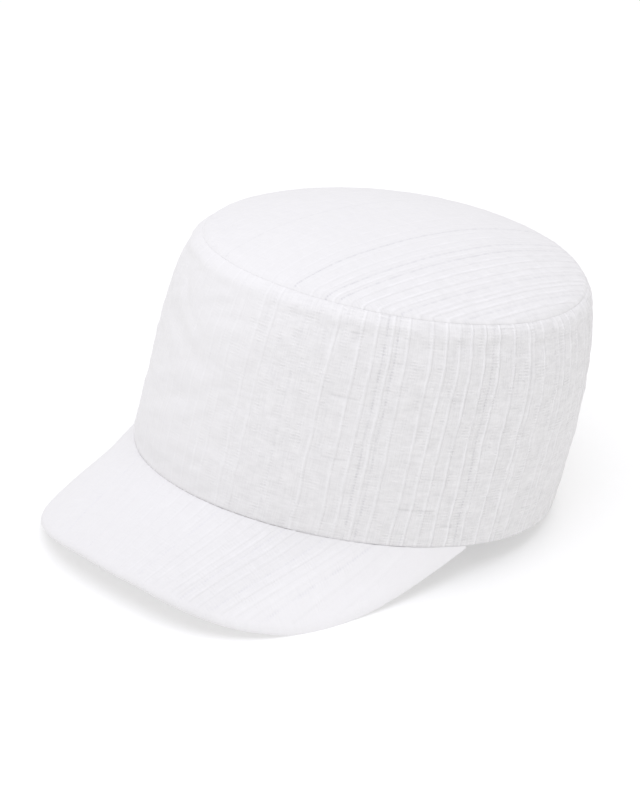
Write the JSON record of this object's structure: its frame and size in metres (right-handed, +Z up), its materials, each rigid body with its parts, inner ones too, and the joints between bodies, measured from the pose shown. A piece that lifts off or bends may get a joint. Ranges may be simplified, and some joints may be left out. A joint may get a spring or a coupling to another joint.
{
  "type": "bellboy cap",
  "caption": "White cloth bellboy cap: an upright oval pillbox crown with a domed top panel and a short stiff peak, lying on its rim and peak.",
  "frame": {"origin": "middle of the bottom of the whole cap's box, on the surface that it rests on", "axes": "+Z up from the surface, -Y towards the front of the peak, +X to the wearer's left"},
  "size_m": [0.1767, 0.2522, 0.1255],
  "materials": {
    "crown_cloth": "matt white cotton, striped weave with raised cords and openwork",
    "top_cloth": "matt white cotton, striped weave running front to back",
    "peak_cloth": "matt white cotton, drawn tight over a stiff board"
  },
  "bodies": {
    "root": {"crown_side": "crown_cloth", "crown_top": "top_cloth", "peak": "peak_cloth"}
  },
  "joints": []
}
